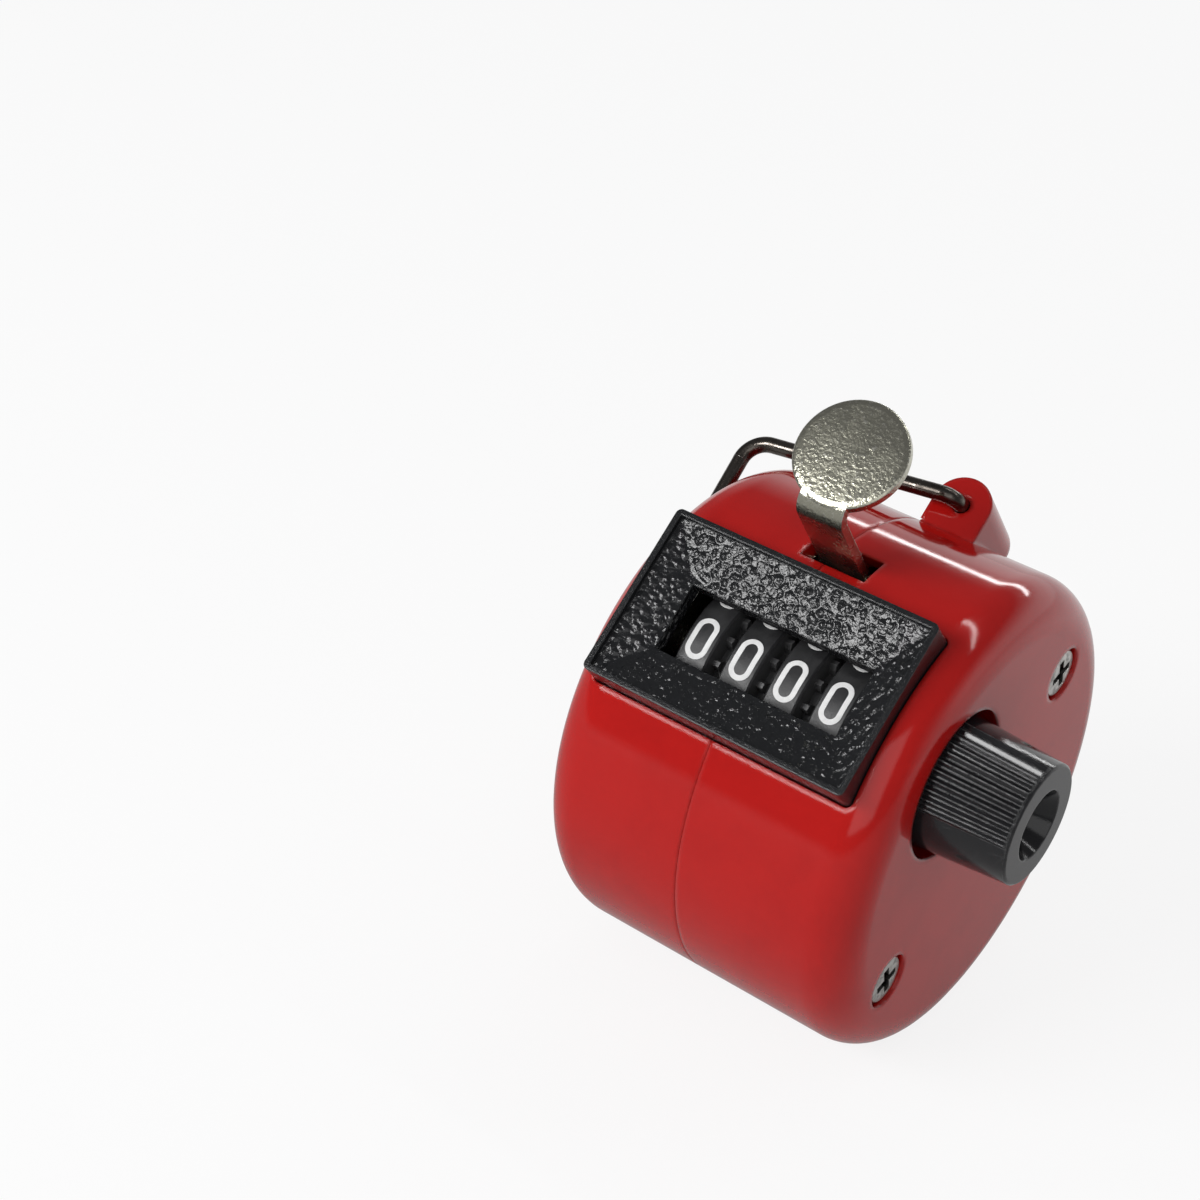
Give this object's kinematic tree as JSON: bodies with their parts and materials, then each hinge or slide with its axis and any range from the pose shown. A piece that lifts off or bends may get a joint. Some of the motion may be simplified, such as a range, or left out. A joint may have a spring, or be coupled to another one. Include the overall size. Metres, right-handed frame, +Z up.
{
  "type": "tally counter",
  "caption": "Hand-held mechanical tally counter: round case with number wheels behind a window, thumb lever, reset knob and finger ring.",
  "frame": {"origin": "centre of the flat under the case, below the middle of the drum", "axes": "+Z up from the flat, +X along the drum toward the reset knob, -Y toward the window"},
  "size_m": [0.0403, 0.0429, 0.0534],
  "materials": {
    "red_case": "glossy moulded red plastic",
    "black_bezel": "black plastic, slopes finely grained, rim smooth",
    "black_knob": "semi-gloss black plastic",
    "wheel_black": "satin black plastic",
    "pinion_white": "natural white plastic",
    "nickel_lever": "nickel-plated sheet steel",
    "nickel_wire": "nickel-plated steel wire",
    "screw_steel": "nickel-plated steel",
    "pin_steel": "bright drawn steel",
    "pawl_steel": "stamped steel"
  },
  "bodies": {
    "case": {"left_case": "red_case", "right_case": "red_case", "window_bezel": "black_bezel", "case_screws": "screw_steel", "pinion_shaft": "pin_steel", "lever_pins": "pin_steel", "backstop_spring": "pin_steel"},
    "lever": {"thumb_lever": "nickel_lever", "pawl_pin": "pin_steel", "pawl_spring": "pin_steel", "lever_spring": "pin_steel"},
    "pawl": {"drive_pawl": "pawl_steel"},
    "units": {"units_wheel": "wheel_black"},
    "tens": {"tens_wheel": "wheel_black"},
    "hundreds": {"hundreds_wheel": "wheel_black"},
    "thousands": {"thousands_wheel": "wheel_black"},
    "tens_carry": {"tens_pinion": "pinion_white"},
    "hundreds_carry": {"hundreds_pinion": "pinion_white"},
    "thousands_carry": {"thousands_pinion": "pinion_white"},
    "reset": {"wheel_shaft": "pin_steel", "reset_knob": "black_knob", "shaft_clip": "pin_steel"},
    "ring": {"finger_ring": "nickel_wire"}
  },
  "joints": [
    {"name": "lever_press", "type": "hinge", "parent": "case", "child": "lever", "pos_m": [0, -0.01294, 0.02968], "axis": [-1, 0, 0], "range_deg": [0, 12], "stiffness_Nm_per_rad": 0.12, "springref_deg": -14.32, "deforming": ["lever_spring"]},
    {"name": "pawl_click", "type": "hinge", "parent": "lever", "child": "pawl", "pos_m": [0.0086, -0.00229, 0.0355], "axis": [1, 0, 0], "range_deg": [0, 5], "stiffness_Nm_per_rad": 0.002, "springref_deg": -11.46, "deforming": ["pawl_spring"]},
    {"name": "units_turn", "type": "hinge", "parent": "case", "child": "units", "pos_m": [0, -0.00736, 0.02797], "axis": [-1, 0, 0], "continuous": true},
    {"name": "tens_turn", "type": "hinge", "parent": "case", "child": "tens", "pos_m": [0, -0.00736, 0.02797], "axis": [-1, 0, 0], "continuous": true},
    {"name": "hundreds_turn", "type": "hinge", "parent": "case", "child": "hundreds", "pos_m": [0, -0.00736, 0.02797], "axis": [-1, 0, 0], "continuous": true},
    {"name": "thousands_turn", "type": "hinge", "parent": "case", "child": "thousands", "pos_m": [0, -0.00736, 0.02797], "axis": [-1, 0, 0], "continuous": true},
    {"name": "tens_pinion_turn", "type": "hinge", "parent": "case", "child": "tens_carry", "pos_m": [0, -0.01423, 0.02179], "axis": [-1, 0, 0], "continuous": true},
    {"name": "hundreds_pinion_turn", "type": "hinge", "parent": "case", "child": "hundreds_carry", "pos_m": [0, -0.01423, 0.02179], "axis": [-1, 0, 0], "continuous": true},
    {"name": "thousands_pinion_turn", "type": "hinge", "parent": "case", "child": "thousands_carry", "pos_m": [0, -0.01423, 0.02179], "axis": [-1, 0, 0], "continuous": true},
    {"name": "reset_turn", "type": "hinge", "parent": "case", "child": "reset", "pos_m": [0, -0.00736, 0.02797], "axis": [-1, 0, 0], "continuous": true},
    {"name": "ring_swing", "type": "hinge", "parent": "case", "child": "ring", "pos_m": [0.0019, 0.01464, 0.03702], "axis": [0, 0.6691, -0.7431], "range_deg": [0, 175]}
  ],
  "couplings": [
    {"joint": "tens_turn", "follows": "units_turn", "ratio": 0.1},
    {"joint": "hundreds_turn", "follows": "units_turn", "ratio": 0.01},
    {"joint": "thousands_turn", "follows": "units_turn", "ratio": 0.001},
    {"joint": "tens_pinion_turn", "follows": "units_turn", "ratio": -0.25},
    {"joint": "hundreds_pinion_turn", "follows": "units_turn", "ratio": -0.025},
    {"joint": "thousands_pinion_turn", "follows": "units_turn", "ratio": -0.0025}
  ]
}
